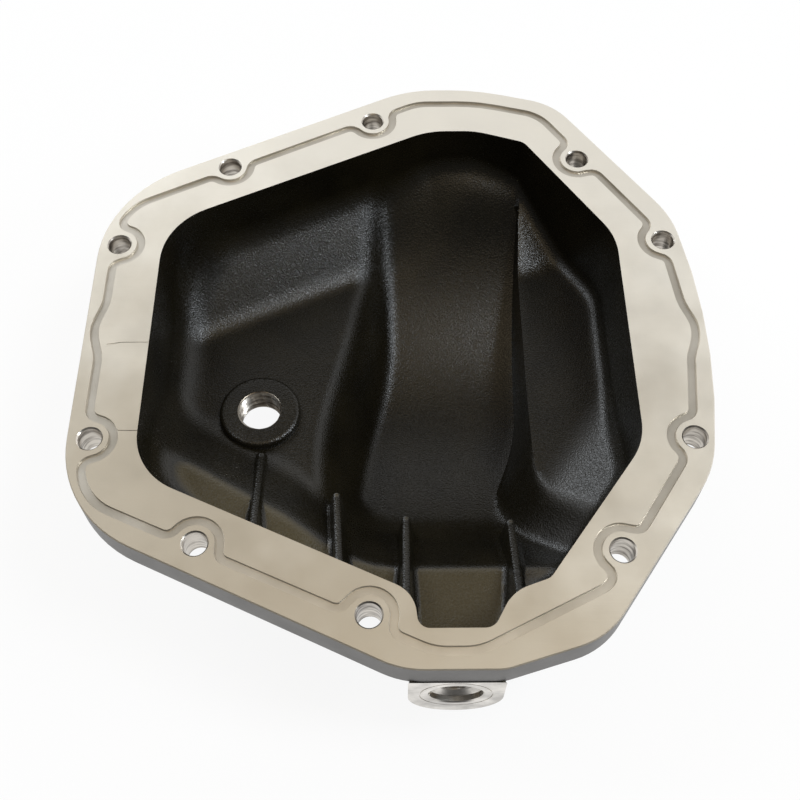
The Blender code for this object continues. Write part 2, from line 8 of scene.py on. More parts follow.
import bmesh
import bpy
import numpy as np
from mathutils import Matrix, Vector
from mathutils.geometry import delaunay_2d_cdt
from mathutils.kdtree import KDTree


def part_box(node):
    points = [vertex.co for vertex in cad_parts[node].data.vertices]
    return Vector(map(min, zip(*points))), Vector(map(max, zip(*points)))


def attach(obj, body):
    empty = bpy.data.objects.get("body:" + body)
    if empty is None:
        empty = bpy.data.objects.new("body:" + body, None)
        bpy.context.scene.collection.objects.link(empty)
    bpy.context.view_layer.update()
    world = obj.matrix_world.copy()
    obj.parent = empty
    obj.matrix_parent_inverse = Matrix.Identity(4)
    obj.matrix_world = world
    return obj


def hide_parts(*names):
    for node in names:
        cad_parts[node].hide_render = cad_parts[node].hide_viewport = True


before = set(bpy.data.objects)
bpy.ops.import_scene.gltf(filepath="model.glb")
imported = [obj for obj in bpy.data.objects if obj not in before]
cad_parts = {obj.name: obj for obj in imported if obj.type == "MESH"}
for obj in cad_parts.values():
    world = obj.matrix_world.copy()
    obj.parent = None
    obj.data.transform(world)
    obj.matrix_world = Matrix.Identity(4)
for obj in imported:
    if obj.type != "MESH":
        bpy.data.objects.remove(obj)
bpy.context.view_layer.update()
FACE_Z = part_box("differential_cover")[1].z

# Flange ring: corners of the outer outline as (x, y, corner radius), counter-clockwise
FLANGE_THICKNESS = 0.016
FLANGE_EDGE_BREAK = 0.0005
FLANGE_OUTLINE = [
    (-0.1410, 0.0836, 0.061),
    (-0.1410, -0.0880, 0.056),
    (0.0015, -0.1546, 0.040),
    (0.0415, -0.1546, 0.022),
    (0.0820, -0.1423, 0.036),
    (0.1336, -0.0694, 0.051),
    (0.1463, 0.0000, 0.318),
    (0.1336, 0.0694, 0.051),
    (0.0820, 0.1444, 0.033),
    (0.0420, 0.1550, 0.110),
    (0.0070, 0.1550, 0.060),
]

# Opening in the flange, in the same form. The two notch corners lead to the drain.
OPENING_OUTLINE = [
    (-0.1112, 0.0654, 0.034),
    (-0.1112, -0.0687, 0.030),
    (0.0065, -0.1230, 0.014),
    (0.0083, -0.1379, 0.005),
    (0.0378, -0.1379, 0.006),
    (0.0458, -0.1230, 0.018),
    (0.0613, -0.1174, 0.006),
    (0.1059, -0.0561, 0.031),
    (0.1059, 0.0563, 0.033),
    (0.0655, 0.1175, 0.008),
    (0.0410, 0.1254, 0.040),
    (0.0170, 0.1254, 0.040),
]
NOTCH_CORNERS = (3, 4)
LOWER_RIGHT_WALL = (6, 7)
UPPER_LEFT_WALL = (11, 0)
UPPER_WALL = (10, 11)
PAN_LEFT_X = OPENING_OUTLINE[0][0]
PAN_LOWER_Y = OPENING_OUTLINE[2][1]
NOTCH_Y = OPENING_OUTLINE[NOTCH_CORNERS[0]][1]
FLANGE_LOWER_Y = FLANGE_OUTLINE[2][1]

# Bolt holes: one of each mirrored pair
BOLT_PAIRS = [
    (-0.1312, 0.0528),
    (-0.0820, 0.1017),
    (-0.0111, 0.1324),
    (0.0913, 0.1058),
    (0.1279, 0.0538),
]
BOLT_HOLE_DIAMETER = 0.0103
BOLT_HOLE_CHAMFER = 0.0006

# Seal groove: a ring that runs round the inside of each bolt and out at the two flanks
GROOVE_WIDTH = 0.0040
GROOVE_FLOOR_WIDTH = 0.0034
GROOVE_DEPTH = 0.0011
GROOVE_OUTLINE = [
    (-0.1330, 0.0739, 0.025),
    (-0.1330, -0.0804, 0.025),
    (0.0140, -0.1470, 0.025),
    (0.0320, -0.1470, 0.025),
    (0.0840, -0.1210, 0.014),
    (0.1270, -0.0565, 0.030),
    (0.1335, 0.0000, 0.150),
    (0.1270, 0.0565, 0.030),
    (0.0739, 0.1362, 0.020),
    (0.0420, 0.1445, 0.080),
    (0.0116, 0.1445, 0.025),
]
GROOVE_BOLT_RADIUS = 0.0102
GROOVE_BEND_RADIUS = 0.0050
GROOVE_FLANKS = [(-0.133, 0.004), (0.132, 0.002)]
GROOVE_FLANK_SWING = 0.018
GROOVE_FLANK_PUSH = 0.0035

# Two lines scribed across the left of the face, each as points (x, y)
SCRIBES = [
    [(-0.1300, -0.0043), (-0.1235, -0.0033), (-0.1105, -0.0033)],
    [(-0.1220, -0.0488), (-0.1105, -0.0490)],
]
SCRIBE_WIDTH = 0.0006
SCRIBE_DEPTH = 0.0002

# Pan walls
WALL = 0.0055
DRAFT_RUN = 0.0016
WALL_FILLET = 0.007
LEFT_WALL_FILLET = 0.016
NOTCH_FILLET = 0.003
FLANGE_FILLET = 0.004
SOFT_BLEND = 0.005
FILLET_SHARE = 0.7

# Ring gear channel: a cylinder about the axle line between two side walls
RING_RADIUS = 0.133
RING_AXIS_HEIGHT = 0.045
CHANNEL_LEFT = -0.005
CHANNEL_LEFT_SHIFT = 0.015
CHANNEL_LEFT_SLOPE = 2.0
CHANNEL_SHOULDER = 0.014
SOLE_BLEND = 0.010
CHANNEL_TURN = 0.048
CHANNEL_TURN_LENGTH = 0.100
CHANNEL_RIGHT = 0.0640
CHANNEL_RIGHT_LEAN = 0.06
CHANNEL_FAN_LEAN = 1.0
CHANNEL_FAN_START = 0.010
CHANNEL_FAN_LENGTH = 0.082
CHANNEL_BROW_SHIFT = 0.012
CHANNEL_BROW_TURN = -0.035
CHANNEL_BROW_LENGTH = 0.045

# Chambers beside the channel
LEFT_DEPTH = 0.052
RIGHT_DEPTH = 0.050
UPPER_SLOPE_DEPTH = 0.024
UPPER_SLOPE = 0.84
FACET_START = (0.069, 0.072)
FACET_TURN = math.radians(23)
FACET_SLOPE = 0.50
LOWER_RIGHT_REACH = 0.031
LOWER_RIGHT_SLOPE = 0.55

# Shelf along the lower edge
SHELF_DEPTH = 0.040
SHELF_LEFT_DEPTH = 0.032
SHELF_RISE_LENGTH = 0.045
CREST_POINT = (0.0235, -0.0962)
CREST_LEFT_POINT = (-0.0950, -0.0480)
CREST_LEFT_SLOPE = -0.59
LOWER_SLOPE = 1.0
LOWER_SLOPE_LEFT = 0.62

# Ribs: (x at the tip, x at the edge, y of the tip, depth of the tip)
RIBS = [
    (-0.0640, -0.0615, -0.034, 0.0475),
    (-0.0275, -0.0240, -0.058, 0.0420),
    (0.0042, 0.0037, -0.069, 0.0440),
    (0.0515, 0.0508, -0.071, 0.0440),
]
RIB_THICKNESS = 0.0036
RIB_DRAFT = 0.12
RIB_FOOT_FILLET = 0.003
RIB_TOP_DEPTH = 0.0165
RIB_SEAT = 0.001
RIB_DRAW = 0.9

# Section of a rib's crest: share of its half thickness, and its drop as a share of that half
RIB_CREST = [(0.25, 0.0), (0.62, 0.06), (0.88, 0.25), (1.0, 0.6)]
RIB_RING_DROP = 0.1

# Fill boss with its threaded bore
FILL_CENTRE = (-0.0660, -0.0110)
FILL_BORE_DIAMETER = 0.0195
FILL_MOUTH_DIAMETER = 0.0212
FILL_BOSS_DIAMETER = 0.0394
FILL_BOSS_TOP_DEPTH = 0.048
FILL_BOSS_LENGTH = 0.0145
FILL_BOSS_EDGE = 0.0025
FILL_FACE_EDGE = 0.001

# Drain boss with its counterbored thread and the ring left by its facing cutter. The thread
# starts inside the boss's face and ends short of the notch.
DRAIN_X = 0.0235
DRAIN_DEPTH = 0.031
DRAIN_BORE_DIAMETER = 0.0165
DRAIN_MOUTH_DIAMETER = 0.0222
DRAIN_MOUTH_DEPTH = 0.0028
DRAIN_BOSS_WIDTH = 0.0380
DRAIN_THREAD_START = 0.0048
DRAIN_THREAD_END = 0.002
DRAIN_BOSS_BOTTOM_DEPTH = 0.0530
DRAIN_FACE_PROUD = 0.0004
DRAIN_CORNER = 0.0005
DRAIN_RING_DIAMETER = 0.0300
DRAIN_RING_DEPTH = 0.0003
DRAIN_RING_WIDTH = 0.0005

# Threads: pitch of a pipe thread with 14 turns to the inch, and the steepness of its flanks
THREAD_PITCH = 0.0254 / 14
THREAD_HEIGHT = 0.0009
THREAD_SLEEVE = 0.0004
THREAD_FLANK = 1.25

# Flat crown on the back of the channel
CROWN_FLAT = 0.0014
CROWN_DEPTH = RING_RADIUS + WALL - RING_AXIS_HEIGHT - CROWN_FLAT

# Mesh spacing, and the angles at which fillets are stepped
EDGE_SPACING = 0.0026
SHELL_EDGE_SPACING = EDGE_SPACING * 1.5
FLOOR_SPACING = 0.0024
LINE_SPACING = 0.0016
BACK_SPACING = 0.0050
GROOVE_SPACING = 0.0012
EDGE_SEARCH_STEP = 0.0005
ARC_STEP = math.radians(5)
FILLET_ANGLES = (0, 12, 25, 38, 51, 64, 77, 90)
SHELL_FILLET_ANGLES = (0, 20, 40, 60, 75, 90)
RIB_FOOT_ANGLES = (0, 30, 60, 85)
BOSS_EDGE_ANGLES = (0, 15, 30, 45, 60, 75, 90)
FLANGE_BEND_SHARES = (0.26, 0.5, 0.71, 0.87, 0.97, 1.0)
WALL_LINE_SHARES = (0.33, 0.67)
SOLE_LINE_SHARES = (-1, -0.5, 0, 0.5, 1)
HOLE_SEGMENTS = 64
RIB_STEPS = 36
NOSE_STEPS = 8
THREAD_STEPS = 12
CHUNK = 2000
SHARP_ANGLE = math.radians(28)

# Mesh points: clear room and row pitch as shares of the spacing, the share of its depth that
# a ring point has to keep, and the distance at which points merge
LINE_CLEARANCE = 0.3
GRID_CLEARANCE = 0.6
ROW_PITCH = 0.87
NARROW_SHARE = 0.97
MERGE_DISTANCE = 1e-7

# How far cutters run past what they cut, and the small step kept from a face
OVERLAP = 0.005
FACE_LIFT = 0.0004

# Surface finishes, as linear colours
# The face's tan serves both its stains and a painted shade towards the front and left of the face
FACE_LIGHT = (0.77, 0.73, 0.65)
FACE_TAN_AND_SHADE = (0.45, 0.40, 0.32)
GROOVE_PALE = (0.62, 0.58, 0.51)
GROOVE_TAN = (0.42, 0.385, 0.325)
EDGE_GREY = (0.15, 0.145, 0.14)
EDGE_DARK = (0.11, 0.105, 0.10)
COAT_BLACK = (0.0045, 0.0036, 0.0016)
COAT_BROWN = (0.0500, 0.0400, 0.0200)
# Painted light on the coat: the depth below the face where it begins, and the upward share of the
# normal over which it fades in
PAINTED_LIGHT_DEPTH = 0.047
PAINTED_LIGHT_LEVEL = (0.88, 0.98)
NOISE_MIDDLE = (0.3, 0.7)
FACING_SHARE = 0.5
BORE_GREY = (0.62, 0.58, 0.52)
BORE_DARK = (0.16, 0.14, 0.12)
BARE_BRIGHT = (0.80, 0.77, 0.72)
BARE_DULL = (0.46, 0.44, 0.41)

# Light: lamp colours, and the world's pale wall: its strength and that of the room round it,
# the upward and backward parts of a direction over which it fades and begins, and its share
# in front
WARM = (1.0, 0.80, 0.52)
COOL = (0.88, 0.94, 1.0)
WALL_LIGHT = 1.08
ROOM_LIGHT = 0.08
WALL_FADE = (0.60, 0.90)
WALL_START = (-0.4, 0.3)
WALL_FRONT = 0.03

# Floor: a wide pale plane, with the share of plain white mixed in so that shadows stay faint
FLOOR_SIZE = 6
FLOOR_COLOUR = (0.85, 0.85, 0.85)
WHITE_SHARE = 0.9

# Camera: place with its height above the flange face, lens on a 36 mm sensor, tilt and turn
CAMERA_PLACE = (-0.0001, -0.2843, 0.4157)
CAMERA_LENS = 50.04
CAMERA_SENSOR = 36
CAMERA_TILT = math.radians(31)
CAMERA_TURN = math.radians(-0.411)


def smooth_max(a, b, blend):
    """Higher of two heights, with the crease between them rounded over the blend."""
    share = np.maximum(blend - np.abs(a - b), 0.0) / blend
    return np.maximum(a, b) + share * share * blend / 4


def smooth_min(a, b, blend):
    return -smooth_max(-a, -b, blend)


def ease(t):
    """Rise from 0 to 1 with level ends."""
    t = np.clip(t, 0.0, 1.0)
    return t * t * (3 - 2 * t)


def rounded_polygon(corners):
    """Points of a closed outline whose corners are arcs."""
    points = []
    count = len(corners)
    for i, (x, y, radius) in enumerate(corners):
        corner = Vector((x, y))
        back = (Vector(corners[i - 1][:2]) - corner).normalized()
        ahead = (Vector(corners[(i + 1) % count][:2]) - corner).normalized()
        turn = math.pi - back.angle(ahead)
        start = corner + back * radius * math.tan(turn / 2)
        centre = corner + (back + ahead).normalized() * radius / math.cos(turn / 2)
        side = 1 if ahead.cross(back) > 0 else -1
        steps = max(1, math.ceil(turn / ARC_STEP))
        for k in range(steps + 1):
            swing = Matrix.Rotation(side * turn * k / steps, 2)
            points.append(centre + swing @ (start - centre))
    return np.array([tuple(p) for p in points])


def spaced(loop, spacing):
    """The same closed outline, with its long straight runs divided."""
    points = []
    for start, end in zip(loop, np.roll(loop, -1, axis=0)):
        pieces = max(1, round(float(np.linalg.norm(end - start)) / spacing))
        points += [start + (end - start) * k / pieces for k in range(pieces)]
    return np.array(points)


def outward_normals(loop):
    """Unit normals of a counter-clockwise loop, one for each of its points."""
    along = np.roll(loop, -1, axis=0) - np.roll(loop, 1, axis=0)
    along = along / np.linalg.norm(along, axis=1)[:, None]
    return np.stack([along[:, 1], -along[:, 0]], axis=1)


def depth_inside(points, loop):
    """Distance from each point to a closed loop, positive inside it."""
    depths = [np.zeros(0)]
    for part in np.array_split(points, len(points) // CHUNK + 1):
        depths.append(depth_of_part(part, loop))
    return np.concatenate(depths)


def depth_of_part(points, loop):
    start = loop[None, :, :]
    side = np.roll(loop, -1, axis=0)[None, :, :] - start
    reach = points[:, None, :] - start
    share = np.clip((reach * side).sum(2) / (side * side).sum(2), 0, 1)
    gap = np.linalg.norm(reach - side * share[:, :, None], axis=2).min(axis=1)
    above = reach[:, :, 1] < 0
    end_above = (reach - side)[:, :, 1] < 0
    crossing = side[:, :, 0] * reach[:, :, 1] - side[:, :, 1] * reach[:, :, 0]
    hits = (above != end_above) & ((crossing < 0) == (side[:, :, 1] > 0))
    return np.where(hits.sum(axis=1) % 2 == 1, gap, -gap)


def line_depth(x, y, start, end):
    """Distance to the left of the line that runs from start to end."""
    run = Vector(end[:2]) - Vector(start[:2])
    run.normalize()
    return run.x * (y - start[1]) - run.y * (x - start[0])


def crest_y(x):
    """Line of the shelf's crest: level below the channel, rising to the left."""
    left = CREST_LEFT_POINT[1] + CREST_LEFT_SLOPE * (x - CREST_LEFT_POINT[0])
    return smooth_max(left, CREST_POINT[1] + 0 * x, 2 * SOFT_BLEND)


def channel_left(y):
    return CHANNEL_LEFT - CHANNEL_LEFT_SHIFT * ease((CHANNEL_TURN - y) / CHANNEL_TURN_LENGTH)


def channel_brow(y):
    """X of the channel's right wall where it meets the right chamber."""
    return CHANNEL_RIGHT + CHANNEL_BROW_SHIFT * ease((CHANNEL_BROW_TURN - y) / CHANNEL_BROW_LENGTH)


def channel_lean(y):
    """Run per height of the channel's right wall."""
    fan = np.maximum(CHANNEL_FAN_START - y, 0) / CHANNEL_FAN_LENGTH
    return CHANNEL_RIGHT_LEAN + CHANNEL_FAN_LEAN * fan * fan


def round_floor(y, t):
    """Height of the channel's round floor."""
    return RING_AXIS_HEIGHT - np.sqrt(np.maximum((RING_RADIUS + t) ** 2 - y * y, 0))


def sloped(depth, slope, rise, t):
    """Height of a plane that rises from a depth, moved out by t along its normal."""
    return -depth + slope * rise - t * math.hypot(1, slope)


def wall_depth(x, y, wall):
    """Distance from one straight wall of the opening."""
    return line_depth(x, y, OPENING_OUTLINE[wall[0]], OPENING_OUTLINE[wall[1]])


def left_chamber_floor(x, y, t):
    """Level floor with the slope that rises to the upper wall."""
    upper = np.minimum(wall_depth(x, y, UPPER_LEFT_WALL), wall_depth(x, y, UPPER_WALL))
    slope = sloped(UPPER_SLOPE_DEPTH, -UPPER_SLOPE, upper, t)
    return smooth_max(slope, -LEFT_DEPTH - t + 0 * x, SOFT_BLEND)


def right_chamber_floor(x, y, t):
    """Level floor between the upper facet and the slope to the lower right wall."""
    ahead = (y - FACET_START[1]) * math.cos(FACET_TURN) - (x - FACET_START[0]) * math.sin(FACET_TURN)
    facet = sloped(RIGHT_DEPTH, FACET_SLOPE, ahead, t)
    lower = LOWER_RIGHT_REACH - wall_depth(x, y, LOWER_RIGHT_WALL)
    slope = sloped(RIGHT_DEPTH, LOWER_RIGHT_SLOPE, lower, t)
    level = smooth_max(facet, -RIGHT_DEPTH - t + 0 * x, SOFT_BLEND / 2)
    return smooth_max(slope, level, SOFT_BLEND)


def channel_floor(x, y, t):
    """Round channel with its leaning left wall and its right wall."""
    rise = channel_left(y) - x
    left = round_floor(y, 0) + CHANNEL_LEFT_SLOPE * rise - t * math.hypot(1, CHANNEL_LEFT_SLOPE)
    lean = channel_lean(y)
    right = -RIGHT_DEPTH + (x - channel_brow(y) - t * np.hypot(1, lean)) / lean
    return smooth_max(smooth_max(round_floor(y, t), left, SOLE_BLEND), right, SOFT_BLEND)


def shelf_floor(x, y, t):
    """Shelf along the lower edge and the slope that falls from its crest."""
    left = ease((CHANNEL_LEFT - x) / SHELF_RISE_LENGTH)
    level = -SHELF_DEPTH + (SHELF_DEPTH - SHELF_LEFT_DEPTH) * left
    slope = LOWER_SLOPE + (LOWER_SLOPE_LEFT - LOWER_SLOPE) * left
    fall = level - slope * (y - crest_y(x)) - t * np.hypot(1, slope)
    return smooth_min(level - t, fall, SOFT_BLEND / 2)


def pan_floor(x, y, t=0.0):
    """Height of the pan's floor, moved out by t along its normals."""
    across = ease((x - CHANNEL_LEFT) / (CHANNEL_RIGHT - CHANNEL_LEFT))
    chambers = left_chamber_floor(x, y, t) * (1 - across) + right_chamber_floor(x, y, t) * across
    shoulder = CHANNEL_SHOULDER + (SOFT_BLEND - CHANNEL_SHOULDER) * across
    floor = smooth_min(chambers, channel_floor(x, y, t), shoulder)
    return smooth_max(floor, shelf_floor(x, y, t), SOFT_BLEND)


def wall_fillet(x, y):
    """Radius between the steep wall and the floor."""
    left = ease((PAN_LEFT_X + 2 * LEFT_WALL_FILLET - x) / LEFT_WALL_FILLET)
    radius = WALL_FILLET + (LEFT_WALL_FILLET - WALL_FILLET) * left
    notch = ease((PAN_LOWER_Y + WALL_FILLET - y) / WALL_FILLET)
    return radius + (NOTCH_FILLET - radius) * notch


def pan_height(x, y, depth, top, t=0.0):
    """Height of the whole pan at a point that lies depth inside the top of its wall."""
    floor = pan_floor(x, y, t)
    radius = np.minimum(wall_fillet(x, y) + t, FILLET_SHARE * (top - floor))
    reach = np.clip(DRAFT_RUN + radius - depth, 0, radius)
    filleted = floor + radius - np.sqrt(radius**2 - reach**2)
    wall = top + (floor + radius - top) * depth / DRAFT_RUN
    return np.where(depth < DRAFT_RUN, wall, filleted)


def ring_points(loop, depths):
    """Points at several depths inside a loop, left out where the loop is too narrow."""
    normals = outward_normals(loop)
    rings = []
    for depth in depths:
        ring = loop - normals * depth
        rings.append(ring[depth_inside(ring, loop) > depth * NARROW_SHARE])
    return np.concatenate(rings)


def feature_lines(loop, t, spacing):
    """Lines that the triangles keep to, in sets whose own lines may lie close together."""
    low = loop.min(axis=0)
    high = loop.max(axis=0)
    ys = np.arange(low[1], high[1], spacing)
    lean = channel_lean(ys)
    brow = channel_brow(ys) + t * (np.hypot(1, lean) - lean)
    half = SOFT_BLEND / 2
    top = RIGHT_DEPTH + right_chamber_floor(brow, ys, 0)
    drop = np.minimum(RIGHT_DEPTH + round_floor(ys, 0), top)
    levels = [top + half, top, top - half]
    levels += [top + (drop - top) * share for share in WALL_LINE_SHARES]
    levels += [drop + half, drop, drop - half]
    wall = [np.stack([brow + lean * level, ys], axis=1) for level in levels]
    foot = channel_left(ys) - t / 2
    reach = SOLE_BLEND / CHANNEL_LEFT_SLOPE
    sole = [np.stack([foot + reach * share, ys], axis=1) for share in SOLE_LINE_SHARES]
    xs = np.arange(low[0], high[0], spacing)
    crest = np.stack([xs, crest_y(xs)], axis=1)
    return [np.concatenate(wall), np.concatenate(sole), crest]


def thinned(points, kept, gap):
    """Points that stay clear of the kept ones."""
    tree = KDTree(len(kept))
    for i, p in enumerate(kept):
        tree.insert((p[0], p[1], 0), i)
    tree.balance()
    far = [tree.find((p[0], p[1], 0))[2] > gap for p in points]
    return points[np.array(far, dtype=bool)]


def plan_points(loop, depths, t, spacing):
    """Loop, rings, feature lines and a grid of points that fill a loop."""
    fixed = np.concatenate([loop, ring_points(loop, depths)])
    for lines in feature_lines(loop, t, min(spacing, LINE_SPACING)):
        lines = lines[depth_inside(lines, loop) > depths[-1]]
        fixed = np.concatenate([fixed, thinned(lines, fixed, LINE_CLEARANCE * spacing)])
    low = loop.min(axis=0)
    high = loop.max(axis=0)
    grid = np.array([
        (x + 0.5 * spacing * (row % 2), y)
        for row, y in enumerate(np.arange(low[1], high[1], ROW_PITCH * spacing))
        for x in np.arange(low[0], high[0], spacing)
    ])
    grid = grid[depth_inside(grid, loop) > depths[-1]]
    return np.concatenate([fixed, thinned(grid, fixed, GRID_CLEARANCE * spacing)])


def surface_body(name, loop, height, depths, lid, t, spacing):
    """Closed body with a computed lower surface inside a loop, and a flat lid."""
    points = [Vector(p) for p in plan_points(loop, depths, t, spacing)]
    edges = [(i, (i + 1) % len(loop)) for i in range(len(loop))]
    flat = delaunay_2d_cdt(points, edges, [], 1, MERGE_DISTANCE)
    plan = np.array([tuple(p) for p in flat[0]])
    heights = height(plan[:, 0], plan[:, 1], np.maximum(depth_inside(plan, loop), 0))
    bm = bmesh.new()
    verts = [bm.verts.new((p[0], p[1], z)) for p, z in zip(plan, heights)]
    for face in flat[2]:
        bm.faces.new([verts[i] for i in face])
    rim = [edge for edge in bm.edges if edge.is_boundary]
    raised = bmesh.ops.extrude_edge_only(bm, edges=rim)["geom"]
    for item in raised:
        if isinstance(item, bmesh.types.BMVert):
            item.co.z = lid
    top = [item for item in raised if isinstance(item, bmesh.types.BMEdge)]
    bmesh.ops.holes_fill(bm, edges=[edge for edge in top if edge.is_boundary], sides=0)
    return finished(name, bm)


def finished(name, bm):
    """Object made from a closed bmesh."""
    bmesh.ops.recalc_face_normals(bm, faces=bm.faces)
    mesh = bpy.data.meshes.new(name)
    bm.to_mesh(mesh)
    bm.free()
    obj = bpy.data.objects.new(name, mesh)
    bpy.context.collection.objects.link(obj)
    return obj


def prism(bm, points, sweep):
    """Add a closed prism: a planar outline swept along a vector."""
    face = bm.faces.new([bm.verts.new(p) for p in points])
    moved = bmesh.ops.extrude_face_region(bm, geom=[face])["geom"]
    verts = [item for item in moved if isinstance(item, bmesh.types.BMVert)]
    bmesh.ops.translate(bm, vec=sweep, verts=verts)


def bridged(bm, rings, closed=False):
    """Faces between closed rings of points, with the two end rings capped or joined."""
    made = [[bm.verts.new(p) for p in ring] for ring in rings]
    pairs = list(zip(made, made[1:]))
    if closed:
        pairs.append((made[-1], made[0]))
    for low, high in pairs:
        for k in range(len(low)):
            j = (k + 1) % len(low)
            bm.faces.new([low[k], low[j], high[j], high[k]])
    if not closed:
        bm.faces.new(made[0])
        bm.faces.new(made[-1])


def circle(radius, along):
    """Points of a circle round the Z axis, at a distance along it."""
    angles = [2 * math.pi * k / HOLE_SEGMENTS for k in range(HOLE_SEGMENTS)]
    return [Vector((radius * math.cos(a), radius * math.sin(a), along)) for a in angles]


def placed(rings, start, axis):
    """Rings drawn round the Z axis, turned to an axis and moved to its start."""
    turn = Vector(axis).normalized().to_track_quat("Z", "X").to_matrix()
    return [[Vector(start) + turn @ p for p in ring] for ring in rings]


def turned(bm, start, axis, profile, closed=False):
    """Add a round body from (distance along the axis, radius) pairs."""
    rings = [circle(radius, along) for along, radius in profile]
    bridged(bm, placed(rings, start, axis), closed)


def combine(body, tool, operation, solver="EXACT"):
    """Join the tool to the body or cut it out. The tool's own material stays on its faces."""
    modifier = body.modifiers.new(tool.name, "BOOLEAN")
    modifier.operation = operation
    modifier.solver = solver
    modifier.material_mode = "TRANSFER"
    modifier.object = tool
    bpy.context.view_layer.update()
    made = bpy.data.meshes.new_from_object(body.evaluated_get(bpy.context.evaluated_depsgraph_get()))
    body.modifiers.clear()
    body.data = made
    bpy.data.objects.remove(tool, do_unlink=True)


def fillet_depths(radius, angles=FILLET_ANGLES):
    """Depths at which rings of points follow the draft and a fillet."""
    return [DRAFT_RUN + radius * (1 - math.cos(math.radians(a))) for a in angles]


def flange():
    bm = bmesh.new()
    loop = rounded_polygon(FLANGE_OUTLINE)
    inset = loop - outward_normals(loop) * FLANGE_EDGE_BREAK
    levels = [
        (inset, -FLANGE_THICKNESS),
        (loop, -FLANGE_THICKNESS + FLANGE_EDGE_BREAK),
        (loop, -FLANGE_EDGE_BREAK),
        (inset, 0.0),
    ]
    bridged(bm, [[(x, y, z) for x, y in ring] for ring, z in levels])
    return finished("cover", bm)


def core():
    """Inside of the pan, from its floor to above the flange face."""
    loop = spaced(rounded_polygon(OPENING_OUTLINE), EDGE_SPACING)

    def height(x, y, depth):
        return pan_height(x, y, depth, FACE_LIFT)

    return surface_body("core", loop, height, fillet_depths(WALL_FILLET), OVERLAP, 0, FLOOR_SPACING)


def shell():
    """Outside of the pan, from inside the flange down to the crown."""
    corners = [c for i, c in enumerate(OPENING_OUTLINE) if i not in NOTCH_CORNERS]
    inner = spaced(rounded_polygon(corners), SHELL_EDGE_SPACING)
    loop = inner + outward_normals(inner) * (WALL + FLANGE_FILLET)
    underside = -FLANGE_THICKNESS
    wall_top = underside - FLANGE_FILLET

    def height(x, y, depth):
        pan = pan_height(x, y, np.maximum(depth - FLANGE_FILLET, 0), wall_top, WALL)
        bend = np.clip(depth, 0, FLANGE_FILLET)
        lift = np.sqrt(np.maximum(FLANGE_FILLET**2 - bend**2, 0))
        z = np.where(depth < FLANGE_FILLET, wall_top + lift, pan)
        return np.maximum(z, -CROWN_DEPTH)

    bends = [FLANGE_FILLET * s for s in FLANGE_BEND_SHARES]
    wall = fillet_depths(WALL_FILLET + WALL, SHELL_FILLET_ANGLES)
    depths = bends + [FLANGE_FILLET + d for d in wall]
    return surface_body("shell", loop, height, depths, underside / 2, WALL, BACK_SPACING)


def lower_edge_y(x, loop):
    """Y of the opening's lower edge at a given x."""
    ys = np.arange(loop[:, 1].min(), 0, EDGE_SEARCH_STEP)
    inside = depth_inside(np.stack([0 * ys + x, ys], axis=1), loop)
    return float(ys[inside > 0].min())


def bed_height(x, y, loop):
    """Height of the pan under a rib, which climbs the fillet but not the wall."""
    depth = np.maximum(depth_inside(np.stack([x, y], axis=1), loop), DRAFT_RUN + FACE_LIFT)
    return pan_height(x, y, depth, 0.0)


def drawn_in(plan, loop):
    """Plan points with those beyond a rib's seat in the wall drawn back towards it."""
    over = np.maximum(-RIB_SEAT - depth_inside(plan, loop), 0)
    return plan + np.stack([0 * over, RIB_DRAW * over], axis=1)


def rib_loop(xs, ys, out):
    """Plan loop at a distance round a rib's middle line: up one side, round the tip and back."""
    left = np.stack([xs - out, ys], axis=1)[::-1]
    right = np.stack([xs + out, ys], axis=1)
    angles = np.linspace(math.pi, 0, NOSE_STEPS + 1)[1:-1]
    nose = np.stack([xs[0] + out[0] * np.cos(angles), ys[0] + out[0] * np.sin(angles)], axis=1)
    return np.concatenate([left, nose, right])


def along_loop(values):
    """Values of a rib's stations in the order of its plan loop."""
    return np.concatenate([values[::-1], np.full(NOSE_STEPS - 1, values[0]), values])


def rib_rings(rib, loop):
    """Level rings of one rib, from its rounded crest down to its flared foot."""
    tip_x, edge_x, tip_y, tip_depth = rib
    edge_y = lower_edge_y(edge_x, loop) - RIB_SEAT
    half = RIB_THICKNESS / 2
    share = np.linspace(0, 1, RIB_STEPS)
    xs = tip_x + (edge_x - tip_x) * share
    ys = tip_y - half + (edge_y - tip_y + half) * share
    crest = -tip_depth + (tip_depth - RIB_TOP_DEPTH) * share
    stand = np.maximum(crest - bed_height(xs, ys, loop), half)
    flare = np.minimum(RIB_FOOT_FILLET, stand / 2)
    rings = []
    for width, drop in RIB_CREST:
        plan = drawn_in(rib_loop(xs, ys, np.full(RIB_STEPS, half * width)), loop)
        rings.append(np.column_stack([plan, along_loop(crest - half * drop)]))
    side = half + RIB_DRAFT * (stand - flare)
    for angle in RIB_FOOT_ANGLES:
        out = side + flare * (1 - math.cos(math.radians(angle)))
        plan = drawn_in(rib_loop(xs, ys, out), loop)
        lift = along_loop(flare) * (1 - math.sin(math.radians(angle)))
        foot = bed_height(plan[:, 0], plan[:, 1], loop) + lift
        rings.append(np.column_stack([plan, np.minimum(foot, rings[-1][:, 2] - half * RIB_RING_DROP)]))
    rings.append(rings[-1] - [0, 0, WALL / 2])
    return rings


def ribs():
    """Ribs that stand on the floor, each up to the lower wall."""
    loop = rounded_polygon(OPENING_OUTLINE)
    bm = bmesh.new()
    for rib in RIBS:
        bridged(bm, rib_rings(rib, loop))
    bmesh.ops.triangulate(bm, faces=bm.faces)
    return finished("ribs", bm)


